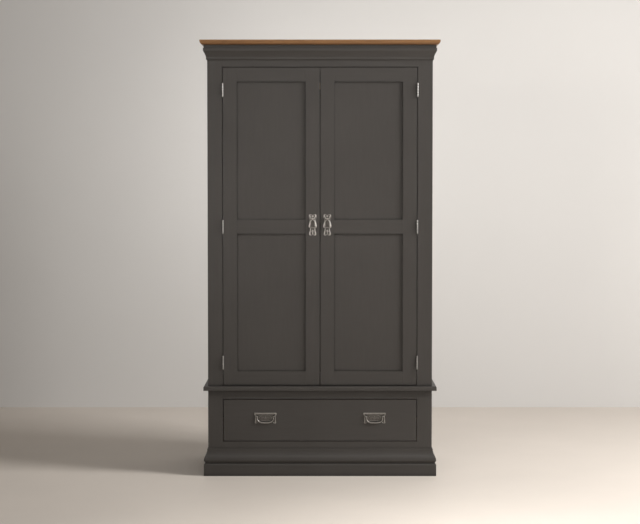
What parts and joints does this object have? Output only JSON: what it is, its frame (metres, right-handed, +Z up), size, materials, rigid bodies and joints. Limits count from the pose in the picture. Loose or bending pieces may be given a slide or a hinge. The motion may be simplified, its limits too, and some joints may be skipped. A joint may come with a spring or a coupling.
{
  "type": "wardrobe with doors",
  "caption": "Free-standing painted wardrobe with inset panelled doors over a full-width drawer, mitred mouldings and an oak top board.",
  "frame": {"origin": "on the floor, under the middle of the whole object's box, which the oak top board sets in width and depth", "axes": "+Z up, the doors and the drawer face -Y, +X to the right of a person who looks at the doors"},
  "size_m": [1.064, 0.6, 1.94],
  "materials": {
    "paint": "satin charcoal paint on wood",
    "oak": "satin lacquered oak",
    "inner_wood": "clear lacquered pale wood",
    "hinge_steel": "satin nickel plate",
    "pewter": "antique pewter, cast, rubbed bright on the edges",
    "catch_plastic": "brown moulded plastic"
  },
  "bodies": {
    "carcass": {"plinth_front": "paint", "plinth_returns": "paint", "base_moulding_front": "paint", "base_moulding_returns": "paint", "waist_moulding_front": "paint", "waist_moulding_returns": "paint", "cornice_front": "paint", "cornice_returns": "paint", "oak_top": "oak", "side_left": "paint", "side_right": "paint", "frame_stile_left": "paint", "frame_stile_right": "paint", "frame_top_rail": "paint", "frame_middle_rail": "paint", "frame_bottom_rail": "paint", "cabinet_floor": "paint", "back_panel": "paint", "ceiling_panel": "paint", "hanging_rail": "inner_wood", "rail_sockets": "inner_wood", "drawer_runners": "inner_wood", "drawer_kickers": "inner_wood", "door_stop": "paint", "magnetic_catches": "catch_plastic", "frame_hinge_leaves": "hinge_steel", "hinge_pins": "hinge_steel", "frame_hinge_screws": "hinge_steel"},
    "left_door": {"left_hinge_stile": "paint", "left_meeting_stile": "paint", "left_top_rail": "paint", "left_middle_rail": "paint", "left_bottom_rail": "paint", "left_upper_panel": "paint", "left_lower_panel": "paint", "left_hinge_leaves": "hinge_steel", "left_hinge_screws": "hinge_steel", "left_handle_plate": "pewter", "left_strike_plate": "hinge_steel"},
    "right_door": {"right_hinge_stile": "paint", "right_meeting_stile": "paint", "right_top_rail": "paint", "right_middle_rail": "paint", "right_bottom_rail": "paint", "right_upper_panel": "paint", "right_lower_panel": "paint", "right_hinge_leaves": "hinge_steel", "right_hinge_screws": "hinge_steel", "right_handle_plate": "pewter", "right_strike_plate": "hinge_steel"},
    "drawer": {"drawer_front": "paint", "drawer_side_left": "inner_wood", "drawer_side_right": "inner_wood", "drawer_back": "inner_wood", "drawer_bottom": "inner_wood", "drawer_handle_plates": "pewter"},
    "left_drop": {"left_drop_handle": "pewter"},
    "right_drop": {"right_drop_handle": "pewter"},
    "left_bail": {"left_bail_handle": "pewter"},
    "right_bail": {"right_bail_handle": "pewter"}
  },
  "joints": [
    {"name": "left_door_hinge", "type": "hinge", "parent": "carcass", "child": "left_door", "pos_m": [-0.4325, -0.2723, 1.113], "axis": [0, 0, -1], "range_deg": [0, 180]},
    {"name": "right_door_hinge", "type": "hinge", "parent": "carcass", "child": "right_door", "pos_m": [0.4325, -0.2723, 1.113], "axis": [0, 0, 1], "range_deg": [0, 180]},
    {"name": "drawer_slide", "type": "slide", "parent": "carcass", "child": "drawer", "axis": [0, -1, 0], "range_m": [0, 0.4]},
    {"name": "left_drop_swing", "type": "hinge", "parent": "left_door", "child": "left_drop", "pos_m": [-0.0325, -0.274, 1.15], "axis": [-1, 0, 0], "range_deg": [0, 90]},
    {"name": "right_drop_swing", "type": "hinge", "parent": "right_door", "child": "right_drop", "pos_m": [0.0325, -0.274, 1.15], "axis": [-1, 0, 0], "range_deg": [0, 90]},
    {"name": "left_bail_swing", "type": "hinge", "parent": "drawer", "child": "left_bail", "pos_m": [-0.244, -0.2745, 0.266], "axis": [-1, 0, 0], "range_deg": [0, 90]},
    {"name": "right_bail_swing", "type": "hinge", "parent": "drawer", "child": "right_bail", "pos_m": [0.244, -0.2745, 0.266], "axis": [-1, 0, 0], "range_deg": [0, 90]}
  ]
}
